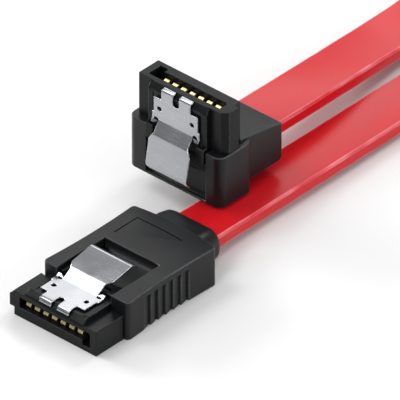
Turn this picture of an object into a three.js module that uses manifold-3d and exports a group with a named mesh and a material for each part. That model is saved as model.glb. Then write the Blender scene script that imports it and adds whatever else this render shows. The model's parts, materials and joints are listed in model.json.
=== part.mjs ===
// A flat serial data cable with two latching plugs: a straight one and a right-angle one.
// Millimetres, +Z up. The origin is on the underside of the straight plug's overmould.
// +X is the way its cable leaves, so its mating face looks along -X.
import * as THREE from 'three';
import * as BufferGeometryUtils from 'three/addons/utils/BufferGeometryUtils.js';
import Module from 'manifold-3d';

const wasm = await Module();
wasm.setup();

// Contacts
const contactCount = 7;
const contactPitch = 1.27;
const contactWidth = 0.72;
const contactThickness = 0.22;
const contactTipSetback = 0.65;
const contactTipLength = 0.65;
const contactTipHeight = 0.62;
const contactTailLength = 1.9;
const contactRowOffset = 0.6;

// Shroud and mating slot, seen with the latch side up
const shroudWidth = 12.1;
const shroudHeight = 3.2;
const slotWidth = 10.4;
const slotFloor = 1.25;
const slotHeight = 1.35;
const slotDepth = 6.0;
const slotSideOffset = 0.1;
const keyLegWidth = 1.13;
const keyLegDrop = 0.63;
const sideRibWidth = 0.67;
const sideRibBottom = 1.0;
const sideRibHeight = 1.5;
const tailLength = 3.4;
const tailSideInset = 1.1;
const tailBottomInset = 0.35;

// Raised bed under the latch spring and the guides beside its ramp
const bedWidth = 8.6;
const bedRise = 0.65;
const bedFrontSlope = 0.75;
const bedReliefAngle = THREE.MathUtils.degToRad(7);
const bedReliefMargin = 0.1;
const guideReach = 3.2;
const guideLength = 1.9;
const guideRise = 0.5;
const guideStart = 5.1;

// Latch spring, one folded strip
const latchOffset = 0.2;
const latchThickness = 0.18;
const latchGap = 0.07;
const latchHalfWidth = 3.25;
const latchEarHalfWidth = 3.48;
const fingerInner = 0.45;
const fingerOuter = 2.15;
const fingerNotchDepth = 1.55;
const fingerCurl = 0.35;
const fingerDrop = 0.47;
const shoulderSetback = 1.4;
const earStart = 3.35;
const earEnd = 4.6;
const foldSetback = 4.25;
const rampLength = 1.5;
const rampRise = 0.98;
const rampHalfWidth = 2.52;
const panelLength = 3.4;
const panelRise = 0.62;
const panelHalfWidth = 3.03;
const lipLength = 0.95;
const lipDrop = 0.55;
const barbHoleSetback = 2.7;
const barbHoleSpacing = 4.83;
const barbHoleRadius = 0.3;
const reliefNotchRadius = 0.32;

// Overmoulds
const fitGap = 0.05;
const straightExposure = 4.45;
const straightBodyWidth = 12.6;
const straightBodyOffset = -0.4;
const straightBodyLength = 15.0;
const straightBodyHeight = 4.95;
const straightPocketEnd = 12.25;
const straightPocketWidth = 8.0;
const straightPocketOffset = -0.15;
const straightCornerRadius = 0.6;
const straightSideSteps = 14;
const waistDepth = 0.35;
const waistSetback = 8.4;
const rearBow = 0.45;
const gripToothCount = 6;
const gripToothPitch = 1.245;
const gripToothDepth = 0.3;
const gripSetback = 2.7;
const gripHeight = 4.2;
const grooveWidth = 0.16;
const grooveDepth = 0.12;
const grooveSideInset = 2.1;
const grooveRearInset = 2.0;
const grooveSideLength = 3.8;
const grooveArcReach = 6.7;
const bootLength = 3.55;
const bootWidth = 8.1;
const bootHeight = 4.05;
const bootRadius = 1.5;
const angledExposure = 5.45;
const angledBodyWidth = 13.7;
const angledBodyHeight = 6.6;
const angledBodyFront = 0.95;
const angledBodyBack = 1.3;
const angledCornerRadius = 1.1;
const angledPocketWidth = 8.8;
const angledPocketRim = 0.3;
const wedgeLength = 5.5;
const wedgeWidth = 12.2;
const wedgeBottom = 1.0;
const wedgeEndHeight = 4.85;
const wedgeTopRise = 1.1;
const wedgeCornerRadius = 0.35;
const overshoot = 1;

// Cable and its conductors
const cableWidth = 6.5;
const cableThickness = 1.65;
const cableEdgeRadius = 0.62;
const straightCableGap = 1.15;
const angledCableGap = 1.4;
const channelGap = 0.12;
const conductorRadius = 0.27;
const groundWireRadius = 0.19;
const conductorPitchAtCable = 0.84;
const cableEntry = 6.2;
const angledCableEnd = 1.5;
const chamberHeight = 1.75;
const wireEndGap = 0.2;
const wireStraight = 0.9;

// Where the plugs lie
const originSetback = 11.6;
const angledPlugX = 31.0;
const angledPlugY = 6.95;
const angledPlugLift = 2.65;

// Stored coil and its tie
const coilCentre = new THREE.Vector2(125.7, 5);
const coilInnerRadius = 29.9;
const coilOuterRadius = 35.1;
const coilLift = 0.85;
const coilSegments = 72;
const tieThickness = 0.55;
const tieWidth = 2.6;
const tieGap = 0.3;

// Middle of the cable's thickness at points chosen by hand, with its roll: 0 flat, 90 on edge.
// x and y are from the middle of the straight plug's mating edge.
const straightLeadRoute = [
  [16.3, 0, 1.98, 0],
  [20.0, 0, 1.98, 0],
  [22.6, 0, 1.97, 0],
  [24.8, 0.1, 1.87, 0],
  [26.9, 0.27, 1.7, 0],
  [30.0, 0.3, 1.67, 0],
  [38.0, 0.33, 1.64, 0],
  [46.0, 0.42, 1.55, 0],
  [54.0, 0.6, 1.37, 0],
  [62.0, 0.85, 1.12, 0],
  [68.0, 0.95, 1.25, 8],
  [72.8, 0.8, 2.35, 30],
  [77.4, -0.1, 3.5, 62],
  [82.8, -2.0, 4.0, 86],
  [88.6, -5.5, 4.1, 90],
  [92.2, -8.9, 4.1, 90],
];
const angledLeadRoute = [
  [32.5, 6.95, 4.87, 0],
  [37.8, 6.95, 4.87, 0],
  [42.0, 7.0, 4.82, 0],
  [48.0, 7.42, 4.38, 0],
  [54.0, 8.3, 3.48, 0],
  [60.0, 9.3, 2.46, 0],
  [66.0, 10.1, 1.64, 0],
  [72.0, 10.4, 1.55, 0],
  [75.8, 10.45, 2.55, 0],
  [79.8, 10.5, 4.75, 0],
  [84.1, 11.1, 7.0, 0],
  [88.8, 12.8, 8.4, 0],
  [93.3, 15.1, 8.75, 0],
  [98.0, 18.4, 8.8, 0],
  [102.6, 22.6, 8.7, 4],
  [107.0, 26.2, 8.3, 20],
  [112.2, 29.4, 7.5, 45],
  [118.0, 31.7, 6.2, 70],
  [124.0, 32.9, 4.9, 86],
  [130.0, 33.1, 4.2, 90],
];
const straightLeadSteps = 34;
const angledLeadSteps = 46;

const palette = {
  housing: new THREE.MeshStandardMaterial({ color: '#1d1e20', roughness: 0.42, metalness: 0 }),
  overmould: new THREE.MeshStandardMaterial({ color: '#27292b', roughness: 0.5, metalness: 0 }),
  spring: new THREE.MeshStandardMaterial({ color: '#d9dadc', roughness: 0.25, metalness: 1 }),
  contact: new THREE.MeshStandardMaterial({ color: '#e6d8a8', roughness: 0.25, metalness: 1 }),
  jacket: new THREE.MeshStandardMaterial({ color: '#d23a42', roughness: 0.38, metalness: 0 }),
  insulation: new THREE.MeshStandardMaterial({ color: '#e9e6df', roughness: 0.45, metalness: 0 }),
  wire: new THREE.MeshStandardMaterial({ color: '#c9c6c0', roughness: 0.3, metalness: 1 }),
  tie: new THREE.MeshStandardMaterial({ color: '#1b1c1e', roughness: 0.5, metalness: 0 }),
};

// Solids and shapes

function toManifold(geometry) {
  const plain = geometry.clone();
  plain.deleteAttribute('normal');
  plain.deleteAttribute('uv');
  const merged = BufferGeometryUtils.mergeVertices(plain, 1e-5);
  return new wasm.Manifold(new wasm.Mesh({
    numProp: 3,
    vertProperties: new Float32Array(merged.attributes.position.array),
    triVerts: new Uint32Array(merged.index.array),
  }));
}

function toGeometry(solid) {
  const mesh = solid.getMesh();
  const geometry = new THREE.BufferGeometry();
  geometry.setAttribute('position', new THREE.BufferAttribute(new Float32Array(mesh.vertProperties), 3));
  geometry.setIndex(new THREE.BufferAttribute(new Uint32Array(mesh.triVerts), 1));
  geometry.computeVertexNormals();
  return geometry;
}

// A prism along one plug axis. Its outline is in the two other axes:
// (across, up) along 'back', (up, back) along 'across' and (back, across) along 'up'.
function prism(shape, axis, from, to, curveSegments = 6) {
  const geometry = new THREE.ExtrudeGeometry(shape, { depth: to - from, bevelEnabled: false, curveSegments });
  geometry.translate(0, 0, from);
  const turn = new THREE.Matrix4();
  if (axis === 'back') turn.set(0, 0, 1, 0, 1, 0, 0, 0, 0, 1, 0, 0, 0, 0, 0, 1);
  if (axis === 'across') turn.set(0, 1, 0, 0, 0, 0, 1, 0, 1, 0, 0, 0, 0, 0, 0, 1);
  geometry.applyMatrix4(turn);
  return toManifold(geometry);
}

// A side profile given as [back, up] points, carried across the plug.
function profilePrism(points, from, to) {
  return prism(new THREE.Shape(points.map(([back, up]) => new THREE.Vector2(up, back))), 'across', from, to);
}

function planPrism(points, from, to) {
  return prism(new THREE.Shape(points.map(([back, across]) => new THREE.Vector2(back, across))), 'up', from, to);
}

function block(back, across, up) {
  const geometry = new THREE.BoxGeometry(back[1] - back[0], across[1] - across[0], up[1] - up[0]);
  geometry.translate((back[0] + back[1]) / 2, (across[0] + across[1]) / 2, (up[0] + up[1]) / 2);
  return toManifold(geometry);
}

function roundedOutline(x0, y0, x1, y1, radius) {
  const shape = new THREE.Shape();
  shape.moveTo(x0 + radius, y0);
  shape.lineTo(x1 - radius, y0);
  shape.absarc(x1 - radius, y0 + radius, radius, -Math.PI / 2, 0);
  shape.lineTo(x1, y1 - radius);
  shape.absarc(x1 - radius, y1 - radius, radius, 0, Math.PI / 2);
  shape.lineTo(x0 + radius, y1);
  shape.absarc(x0 + radius, y1 - radius, radius, Math.PI / 2, Math.PI);
  shape.lineTo(x0, y0 + radius);
  shape.absarc(x0 + radius, y0 + radius, radius, Math.PI, 1.5 * Math.PI);
  return shape;
}

function disc(back, across, radius, from, to) {
  const shape = new THREE.Shape();
  shape.absarc(back, across, radius, 0, 2 * Math.PI);
  return prism(shape, 'up', from, to, 12);
}

// A closed skin over rings of equal point count, capped at both ends.
function skinRings(rings) {
  const count = rings[0].length;
  const positions = rings.flat().flatMap((point) => [point.x, point.y, point.z]);
  const index = [];
  for (let ring = 0; ring + 1 < rings.length; ring += 1) {
    for (let i = 0; i < count; i += 1) {
      const a = ring * count + i;
      const b = ring * count + (i + 1) % count;
      index.push(a, b, b + count, a, b + count, a + count);
    }
  }
  const last = (rings.length - 1) * count;
  for (let i = 1; i + 1 < count; i += 1) {
    index.push(0, i + 1, i);
    index.push(last, last + i, last + i + 1);
  }
  const geometry = new THREE.BufferGeometry();
  geometry.setAttribute('position', new THREE.BufferAttribute(new Float32Array(positions), 3));
  geometry.setIndex(index);
  geometry.computeVertexNormals();
  return geometry;
}

// Plug pieces, in the plug's own axes: back from the mating face, across it, and up to the latch side

const slotTop = slotFloor + slotHeight;
const bedTop = shroudHeight + bedRise;
const contactBottom = slotFloor + fitGap;
const latchUnder = bedTop + latchGap;
const foldEnd = foldSetback + rampLength;
const panelEnd = foldEnd + panelLength;
const latchEnd = panelEnd + lipLength;
const straightCableMiddle = straightCableGap + cableThickness / 2;
const angledCableMiddle = angledCableGap + cableThickness / 2;

function contactAcross(index) {
  return contactRowOffset + (index - (contactCount - 1) / 2) * contactPitch;
}

function wireAcross(index) {
  return (index - (contactCount - 1) / 2) * conductorPitchAtCable;
}

// The insulator: shroud, L-shaped mating slot, side rib, latch bed with its guides, and a tail.
// The bed and the guides stay inside the overmould's pocket, given as its two sides.
function housingGeometry(exposure, pocket) {
  const half = shroudWidth / 2;
  const shroudEnd = exposure - fitGap;
  const tailEnd = exposure + tailLength;
  let solid = block([0, shroudEnd], [-half, half], [0, shroudHeight]);
  solid = solid.add(block(
    [shroudEnd - fitGap, tailEnd],
    [-half + tailSideInset, half - tailSideInset],
    [tailBottomInset, shroudHeight],
  ));
  const ribTop = sideRibBottom + sideRibHeight;
  const rib = new THREE.Shape([
    new THREE.Vector2(half - fitGap, sideRibBottom),
    new THREE.Vector2(half + sideRibWidth, sideRibBottom),
    new THREE.Vector2(half + sideRibWidth, ribTop),
    new THREE.Vector2(half - fitGap, Math.min(ribTop + sideRibWidth, shroudHeight)),
  ]);
  solid = solid.add(prism(rib, 'back', 0, shroudEnd));

  const bedSides = [latchOffset - bedWidth / 2, latchOffset + bedWidth / 2];
  const innerSides = [Math.max(bedSides[0], pocket[0] + fitGap), Math.min(bedSides[1], pocket[1] - fitGap)];
  const guideEnd = guideStart + guideLength;
  solid = solid.add(profilePrism([
    [0, shroudHeight - fitGap],
    [0, shroudHeight + fitGap],
    [bedFrontSlope, bedTop],
    [shroudEnd, bedTop],
    [shroudEnd, shroudHeight - fitGap],
  ], ...bedSides));
  solid = solid.add(block([shroudEnd - fitGap, guideEnd], innerSides, [shroudHeight - fitGap, bedTop]));
  const guides = [[innerSides[0], latchOffset - guideReach], [latchOffset + guideReach, innerSides[1]]];
  for (const guide of guides) {
    solid = solid.add(block([guideStart, guideEnd], guide, [bedTop - fitGap, bedTop + guideRise]));
  }
  solid = solid.subtract(bedRelief(bedFrontSlope, guideStart, latchEarHalfWidth + bedReliefMargin));
  solid = solid.subtract(bedRelief(guideStart - fitGap, guideEnd + bedReliefMargin, guideReach - fitGap));

  const slotLow = slotSideOffset - slotWidth / 2;
  solid = solid.subtract(block([-overshoot, slotDepth], [slotLow, slotLow + slotWidth], [slotFloor, slotTop]));
  solid = solid.subtract(block(
    [-overshoot, slotDepth],
    [slotLow, slotLow + keyLegWidth],
    [slotFloor - keyLegDrop, slotTop],
  ));
  const hole = contactWidth / 2 + fitGap;
  for (let i = 0; i < contactCount; i += 1) {
    const across = contactAcross(i);
    solid = solid.subtract(block(
      [slotDepth - fitGap, tailEnd + overshoot],
      [across - hole, across + hole],
      [slotFloor, contactBottom + contactThickness + fitGap],
    ));
  }
  return toGeometry(solid);
}

// Room under the spring, so that it can be pressed down: the bed falls away from its front edge.
function bedRelief(from, to, half) {
  const top = bedTop + guideRise + bedReliefMargin;
  return profilePrism([
    [from, bedTop - (from - bedFrontSlope) * Math.tan(bedReliefAngle)],
    [from, top],
    [to, top],
    [to, bedTop - (to - bedFrontSlope) * Math.tan(bedReliefAngle)],
  ], latchOffset - half, latchOffset + half);
}

// One contact: a raised tip at the slot's mouth, a blade on its floor and a solder tail.
function contactGeometry(exposure, index) {
  const tailEnd = exposure + tailLength + contactTailLength;
  const tipEnd = contactTipSetback + contactTipLength;
  const top = contactBottom + contactThickness;
  const across = contactAcross(index);
  const profile = [
    [contactTipSetback, contactBottom],
    [contactTipSetback - contactTipHeight / 4, contactBottom + contactTipHeight / 2],
    [contactTipSetback, contactBottom + contactTipHeight],
    [tipEnd, contactBottom + contactTipHeight],
    [tipEnd + contactTipHeight * 1.5, top],
    [tailEnd, top],
    [tailEnd, contactBottom],
  ];
  return toGeometry(profilePrism(profile, across - contactWidth / 2, across + contactWidth / 2));
}

// The spring's strip seen from the side: curled fingers, plate, ramp, press panel and lip.
function latchSidePoints() {
  const rampTop = latchUnder + rampRise;
  const panelTop = rampTop + panelRise;
  const under = [
    [latchThickness, latchUnder - fingerDrop],
    [latchThickness, latchUnder - fingerCurl],
    [latchThickness + fingerCurl * 0.3, latchUnder - fingerCurl * 0.3],
    [latchThickness + fingerCurl, latchUnder],
    [foldSetback, latchUnder],
    [foldEnd, rampTop],
    [panelEnd, panelTop],
    [panelEnd + lipLength * 0.3, panelTop - lipDrop * 0.06],
    [panelEnd + lipLength * 0.55, panelTop - lipDrop * 0.35],
    [latchEnd, panelTop - lipDrop],
  ].map(([back, up]) => new THREE.Vector2(back, up));
  // The outer face is the inner one moved out by the strip's thickness, square to each segment.
  const headings = under.slice(1).map((point, i) => point.clone().sub(under[i]).normalize());
  const outer = under.map((point, i) => {
    const into = headings[Math.max(i - 1, 0)];
    const out = headings[Math.min(i, headings.length - 1)];
    const along = into.clone().add(out).normalize();
    const reach = latchThickness / along.dot(out);
    return new THREE.Vector2(point.x - along.y * reach, point.y + along.x * reach);
  });
  return [...under, ...outer.reverse()].map((point) => [point.x, point.y]);
}

function latchPlanPoints() {
  const front = -overshoot;
  const waistEnd = foldEnd + panelHalfWidth - rampHalfWidth;
  const half = [
    [front, fingerInner],
    [front, fingerOuter],
    [shoulderSetback, fingerOuter],
    [shoulderSetback, latchHalfWidth],
    [earStart, latchHalfWidth],
    [earStart, latchEarHalfWidth],
    [earEnd, latchEarHalfWidth],
    [earEnd, latchEarHalfWidth - reliefNotchRadius * 1.4],
    [foldSetback, rampHalfWidth],
    [foldEnd - reliefNotchRadius, rampHalfWidth],
    [waistEnd, panelHalfWidth],
    [latchEnd + overshoot, panelHalfWidth],
  ];
  const mirrored = half.map(([back, across]) => [back, -across]).reverse();
  return [...half, ...mirrored].map(([back, across]) => [back, across + latchOffset]);
}

function latchGeometry() {
  const reach = latchEarHalfWidth + overshoot;
  const top = latchUnder + rampRise + panelRise + overshoot;
  let solid = profilePrism(latchSidePoints(), latchOffset - reach, latchOffset + reach);
  solid = solid.intersect(planPrism(latchPlanPoints(), 0, top));
  const notch = [latchOffset - fingerInner, latchOffset + fingerInner];
  solid = solid.subtract(block([-overshoot, fingerNotchDepth - fingerInner], notch, [0, top]));
  solid = solid.subtract(disc(fingerNotchDepth - fingerInner, latchOffset, fingerInner, 0, top));
  for (const side of [-1, 1]) {
    solid = solid.subtract(disc(
      barbHoleSetback,
      latchOffset + side * barbHoleSpacing / 2,
      barbHoleRadius,
      0,
      top,
    ));
    const notchAcross = latchOffset + side * (rampHalfWidth + reliefNotchRadius);
    solid = solid.subtract(disc(foldSetback, notchAcross, reliefNotchRadius, 0, latchUnder + latchThickness + fitGap));
  }
  return toGeometry(solid);
}

// The straight overmould's side wall: half its width at a distance from the mating face.
function straightHalfAt(back) {
  const reach = (back - straightExposure - waistSetback) / waistSetback;
  return straightBodyWidth / 2 - waistDepth * Math.max(0, 1 - reach * reach);
}

// The overmould's grip at one side: teeth that step out towards the cable.
function gripCut(side) {
  const gripStart = straightExposure + gripSetback;
  const points = [];
  for (let tooth = 0; tooth < gripToothCount; tooth += 1) {
    const start = gripStart + tooth * gripToothPitch;
    const end = start + gripToothPitch;
    points.push([start, straightHalfAt(start)], [end, straightHalfAt(end) - gripToothDepth]);
  }
  const gripEnd = gripStart + gripToothCount * gripToothPitch;
  const outside = straightBodyWidth / 2 + overshoot;
  points.push([gripEnd, outside], [gripStart, outside]);
  const placed = points.map(([back, across]) => [back, straightBodyOffset + side * across]);
  return planPrism(placed, -overshoot, gripHeight);
}

// One half of the straight overmould seen from above, from its front to its middle at the back.
function straightPlanHalf() {
  const front = straightExposure;
  const rear = front + straightBodyLength;
  const corner = rear - rearBow;
  const sideStart = front + straightCornerRadius;
  const sideEnd = corner - straightCornerRadius;
  const frontHalf = straightHalfAt(sideStart);
  const rearHalf = straightHalfAt(sideEnd);
  const frontCorner = new THREE.QuadraticBezierCurve(
    new THREE.Vector2(front, frontHalf - straightCornerRadius),
    new THREE.Vector2(front, frontHalf),
    new THREE.Vector2(sideStart, frontHalf),
  );
  const rearCorner = new THREE.QuadraticBezierCurve(
    new THREE.Vector2(sideEnd, rearHalf),
    new THREE.Vector2(corner, rearHalf),
    new THREE.Vector2(corner, rearHalf - straightCornerRadius),
  );
  const rearEdge = new THREE.QuadraticBezierCurve(
    new THREE.Vector2(corner, rearHalf - straightCornerRadius),
    new THREE.Vector2(rear, (rearHalf - straightCornerRadius) / 2),
    new THREE.Vector2(rear, 0),
  );
  const side = [];
  for (let step = 1; step < straightSideSteps; step += 1) {
    const back = THREE.MathUtils.lerp(sideStart, sideEnd, step / straightSideSteps);
    side.push(new THREE.Vector2(back, straightHalfAt(back)));
  }
  return [
    ...frontCorner.getPoints(6),
    ...side,
    ...rearCorner.getPoints(6),
    ...rearEdge.getPoints(8).slice(1),
  ];
}

function straightBodySolid() {
  const left = straightPlanHalf().map((point) => [point.x, straightBodyOffset + point.y]);
  const right = left.slice(0, -1).map(([back, across]) => [back, 2 * straightBodyOffset - across]).reverse();
  return planPrism([...left, ...right], 0, straightBodyHeight);
}

// The boot: rings that shrink from the body's rear wall to the rounded end round the cable.
function bootSolid() {
  const rear = straightExposure + straightBodyLength - rearBow;
  const stations = [[-0.4, 1.08], [0.15, 1.07], [0.5, 1.05], [0.82, 1], [0.92, 0.94], [1, 0.84]];
  const rings = stations.map(([share, swell]) => {
    const width = bootWidth * (swell + 1) / 2;
    const height = bootHeight * swell;
    const middle = Math.max(straightCableMiddle, height / 2 + fitGap);
    const outline = roundedOutline(-width / 2, middle - height / 2, width / 2, middle + height / 2, bootRadius);
    const back = rear + share * bootLength;
    return outline.getPoints(5).slice(1).map((point) => new THREE.Vector3(back, point.x, point.y));
  });
  return toManifold(skinRings(rings));
}

function cableChannel(from, to) {
  return prism(roundedOutline(
    -cableWidth / 2 - channelGap,
    straightCableMiddle - cableThickness / 2 - channelGap,
    cableWidth / 2 + channelGap,
    straightCableMiddle + cableThickness / 2 + channelGap,
    cableEdgeRadius + channelGap,
  ), 'back', from, to);
}

// The shallow outline on top: a line near the left side and an arc beside the rear edge.
function topGroove() {
  const rear = straightExposure + straightBodyLength - grooveRearInset;
  const left = straightBodyOffset + straightBodyWidth / 2 - grooveSideInset;
  const depth = [straightBodyHeight - grooveDepth, straightBodyHeight + overshoot];
  const bow = new THREE.QuadraticBezierCurve(
    new THREE.Vector2(rear, left),
    new THREE.Vector2(rear + grooveWidth, left - grooveArcReach / 2),
    new THREE.Vector2(rear, left - grooveArcReach),
  );
  const outer = bow.getPoints(8);
  const inner = outer.map((point) => new THREE.Vector2(point.x - grooveWidth, point.y)).reverse();
  const arc = prism(new THREE.Shape([...outer, ...inner]), 'up', ...depth);
  return block([rear - grooveSideLength, rear], [left - grooveWidth, left], depth).add(arc);
}

function pocketSides(middle, width) {
  return [middle - width / 2, middle + width / 2];
}

function straightOvermouldGeometry() {
  const tailEnd = straightExposure + tailLength + fitGap;
  const halfTail = shroudWidth / 2 - tailSideInset + fitGap;
  const chamberHalf = contactAcross(contactCount - 1) + contactWidth;
  const chamberBottom = contactBottom - fitGap;
  const chamberEnd = tailEnd + contactTailLength + cableEntry - wireEndGap;
  const pocket = pocketSides(straightPocketOffset, straightPocketWidth);
  let solid = straightBodySolid().subtract(gripCut(-1)).subtract(gripCut(1));
  solid = solid.add(bootSolid());
  solid = solid.subtract(block(
    [0, tailEnd],
    [-halfTail, halfTail],
    [tailBottomInset - fitGap, shroudHeight + fitGap],
  ));
  solid = solid.subtract(block(
    [0, straightPocketEnd],
    pocket,
    [shroudHeight + fitGap, straightBodyHeight + overshoot],
  ));
  solid = solid.subtract(block(
    [tailEnd - fitGap, chamberEnd],
    [-chamberHalf, chamberHalf],
    [chamberBottom, chamberBottom + chamberHeight],
  ));
  const bootEnd = straightExposure + straightBodyLength + bootLength + overshoot;
  solid = solid.subtract(cableChannel(chamberEnd - fitGap, bootEnd));
  solid = solid.subtract(topGroove());
  return toGeometry(solid);
}

// The right-angle overmould: a block behind the shroud and a wedge that leads the cable out
// of the side away from the latch, near the block's far end.
function angledOvermouldGeometry() {
  const front = angledExposure;
  const rear = front + angledBodyHeight;
  const tailEnd = front + tailLength + fitGap;
  const halfTail = shroudWidth / 2 - tailSideInset + fitGap;
  const latchFace = shroudHeight + angledBodyFront;
  const half = angledBodyWidth / 2;
  const body = roundedOutline(-half, -angledBodyBack, half, latchFace, angledCornerRadius);
  let solid = prism(body, 'back', front, rear, 6);
  const wedgeRear = rear - wedgeBottom;
  const wedge = [
    [wedgeRear, 0],
    [wedgeRear - wedgeEndHeight - wedgeTopRise, -fitGap],
    [wedgeRear - wedgeEndHeight, -angledBodyBack - wedgeLength],
    [wedgeRear - wedgeCornerRadius, -angledBodyBack - wedgeLength],
    [wedgeRear, -angledBodyBack - wedgeLength + wedgeCornerRadius],
  ];
  solid = solid.add(profilePrism(wedge, -wedgeWidth / 2, wedgeWidth / 2));
  solid = solid.subtract(block(
    [0, tailEnd],
    [-halfTail, halfTail],
    [tailBottomInset - fitGap, shroudHeight + fitGap],
  ));
  solid = solid.subtract(block(
    [0, rear - angledPocketRim],
    pocketSides(latchOffset, angledPocketWidth),
    [shroudHeight + fitGap, latchFace + overshoot],
  ));
  const chamberHalf = contactAcross(contactCount - 1) + contactWidth;
  const cableBack = rear - angledCableMiddle;
  const chamberSide = cableThickness / 2 + channelGap;
  solid = solid.subtract(block(
    [tailEnd - fitGap, cableBack + chamberSide],
    [-chamberHalf, chamberHalf],
    [-angledCableEnd, contactBottom + contactThickness + 2 * fitGap],
  ));
  const channel = new THREE.Shape(roundedOutline(
    cableBack - chamberSide,
    -cableWidth / 2 - channelGap,
    cableBack + chamberSide,
    cableWidth / 2 + channelGap,
    cableEdgeRadius + channelGap,
  ).getPoints(4));
  solid = solid.subtract(prism(channel, 'up', -angledBodyBack - wedgeLength - overshoot, -angledCableEnd + fitGap));
  return toGeometry(solid);
}

function wireGeometry(points, radius) {
  const section = new THREE.Shape();
  section.absarc(0, 0, radius, 0, 2 * Math.PI);
  const path = new THREE.CatmullRomCurve3(points.map((point) => new THREE.Vector3(...point)));
  return new THREE.ExtrudeGeometry(section, { steps: 8, curveSegments: 4, bevelEnabled: false, extrudePath: path });
}

// Ground, pair, ground, pair, ground: every third wire is bare.
function isGround(index) {
  return index % 3 === 0;
}

function wireRadius(index) {
  return isGround(index) ? groundWireRadius : conductorRadius;
}

function straightWirePoints(index) {
  const tailEnd = straightExposure + tailLength + contactTailLength;
  const over = contactBottom + contactThickness + conductorRadius + fitGap;
  const start = tailEnd - contactTailLength + 2 * wireEndGap;
  const end = tailEnd + cableEntry - 2 * wireEndGap - fitGap;
  return [
    [start, contactAcross(index), over],
    [tailEnd, contactAcross(index), over],
    [(tailEnd + end) / 2, (contactAcross(index) + wireAcross(index)) / 2, (over + straightCableMiddle) / 2],
    [end - wireStraight, wireAcross(index), straightCableMiddle],
    [end, wireAcross(index), straightCableMiddle],
  ];
}

function angledWirePoints(index) {
  const back = angledExposure + angledBodyHeight - angledCableMiddle;
  const start = contactBottom - conductorRadius - fitGap;
  const end = -angledCableEnd + wireEndGap;
  return [
    [back, contactAcross(index), start],
    [back, contactAcross(index), start - wireStraight / 2],
    [back, wireAcross(index), end + wireStraight / 2],
    [back, wireAcross(index), end],
  ];
}

// Cable, coil and tie

function cableSection() {
  const outline = roundedOutline(
    -cableWidth / 2,
    -cableThickness / 2,
    cableWidth / 2,
    cableThickness / 2,
    cableEdgeRadius,
  );
  return outline.getPoints(2).slice(1);
}

// A flat ribbon along a route of [x, y, z, roll]: its width lies level and square to the route,
// turned by the roll about the route.
function ribbonGeometry(route, steps, rollSense) {
  const path = new THREE.CatmullRomCurve3(route.map(([x, y, z]) => new THREE.Vector3(x, y, z)));
  const section = cableSection();
  const rings = [];
  for (let step = 0; step <= steps; step += 1) {
    const t = step / steps;
    const centre = path.getPoint(t);
    const along = path.getTangent(t);
    const across = new THREE.Vector3(-along.y, along.x, 0).normalize();
    const up = new THREE.Vector3().crossVectors(along, across);
    const place = t * (route.length - 1);
    const first = Math.min(Math.floor(place), route.length - 2);
    const roll = THREE.MathUtils.lerp(route[first][3], route[first + 1][3], place - first);
    const angle = rollSense * THREE.MathUtils.degToRad(roll);
    rings.push(section.map((point) => {
      const side = point.x * Math.cos(angle) - point.y * Math.sin(angle);
      const rise = point.x * Math.sin(angle) + point.y * Math.cos(angle);
      return centre.clone().addScaledVector(across, side).addScaledVector(up, rise);
    }));
  }
  return skinRings(rings);
}

function coilGeometry() {
  const profile = [
    new THREE.Vector2(coilInnerRadius, 0),
    new THREE.Vector2(coilOuterRadius, 0),
    new THREE.Vector2(coilOuterRadius, cableWidth),
    new THREE.Vector2(coilInnerRadius, cableWidth),
    new THREE.Vector2(coilInnerRadius, 0),
  ];
  const geometry = new THREE.LatheGeometry(profile, coilSegments);
  geometry.rotateX(Math.PI / 2);
  geometry.translate(coilCentre.x, coilCentre.y, coilLift);
  return toGeometry(toManifold(geometry));
}

// A band round the coil's section at its far side.
function tieGeometry() {
  const inner = [
    coilInnerRadius - tieGap,
    coilLift - tieGap,
    coilOuterRadius + tieGap,
    coilLift + cableWidth + tieGap,
  ];
  const outer = roundedOutline(
    inner[0] - tieThickness,
    inner[1] - tieThickness,
    inner[2] + tieThickness,
    inner[3] + tieThickness,
    tieThickness,
  );
  const band = new THREE.ExtrudeGeometry(outer, { depth: tieWidth, bevelEnabled: false, curveSegments: 4 });
  band.rotateX(Math.PI / 2);
  band.translate(0, tieWidth / 2, 0);
  const opening = new THREE.BoxGeometry(inner[2] - inner[0], tieWidth * 2, inner[3] - inner[1]);
  opening.translate((inner[0] + inner[2]) / 2, 0, (inner[1] + inner[3]) / 2);
  const solid = toManifold(band).subtract(toManifold(opening));
  const geometry = toGeometry(solid);
  geometry.translate(coilCentre.x, coilCentre.y, 0);
  return geometry;
}

// Assembly

function named(name, geometry, material) {
  const mesh = new THREE.Mesh(geometry, material);
  mesh.name = name;
  return mesh;
}

function plug(prefix, exposure, pocket, overmould, wirePoints) {
  const group = new THREE.Group();
  group.add(named(`${prefix}_housing`, housingGeometry(exposure, pocket), palette.housing));
  group.add(named(`${prefix}_latch_spring`, latchGeometry(), palette.spring));
  group.add(named(`${prefix}_overmould`, overmould, palette.overmould));
  for (let i = 0; i < contactCount; i += 1) {
    group.add(named(`${prefix}_contact_${i + 1}`, contactGeometry(exposure, i), palette.contact));
    const wireName = isGround(i) ? 'ground_wire' : 'signal_wire';
    const material = isGround(i) ? palette.wire : palette.insulation;
    const wire = wireGeometry(wirePoints(i), wireRadius(i));
    group.add(named(`${prefix}_${wireName}_${i + 1}`, wire, material));
  }
  return group;
}

const cable = new THREE.Group();

cable.add(plug(
  'straight',
  straightExposure,
  pocketSides(straightPocketOffset, straightPocketWidth),
  straightOvermouldGeometry(),
  straightWirePoints,
));

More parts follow.
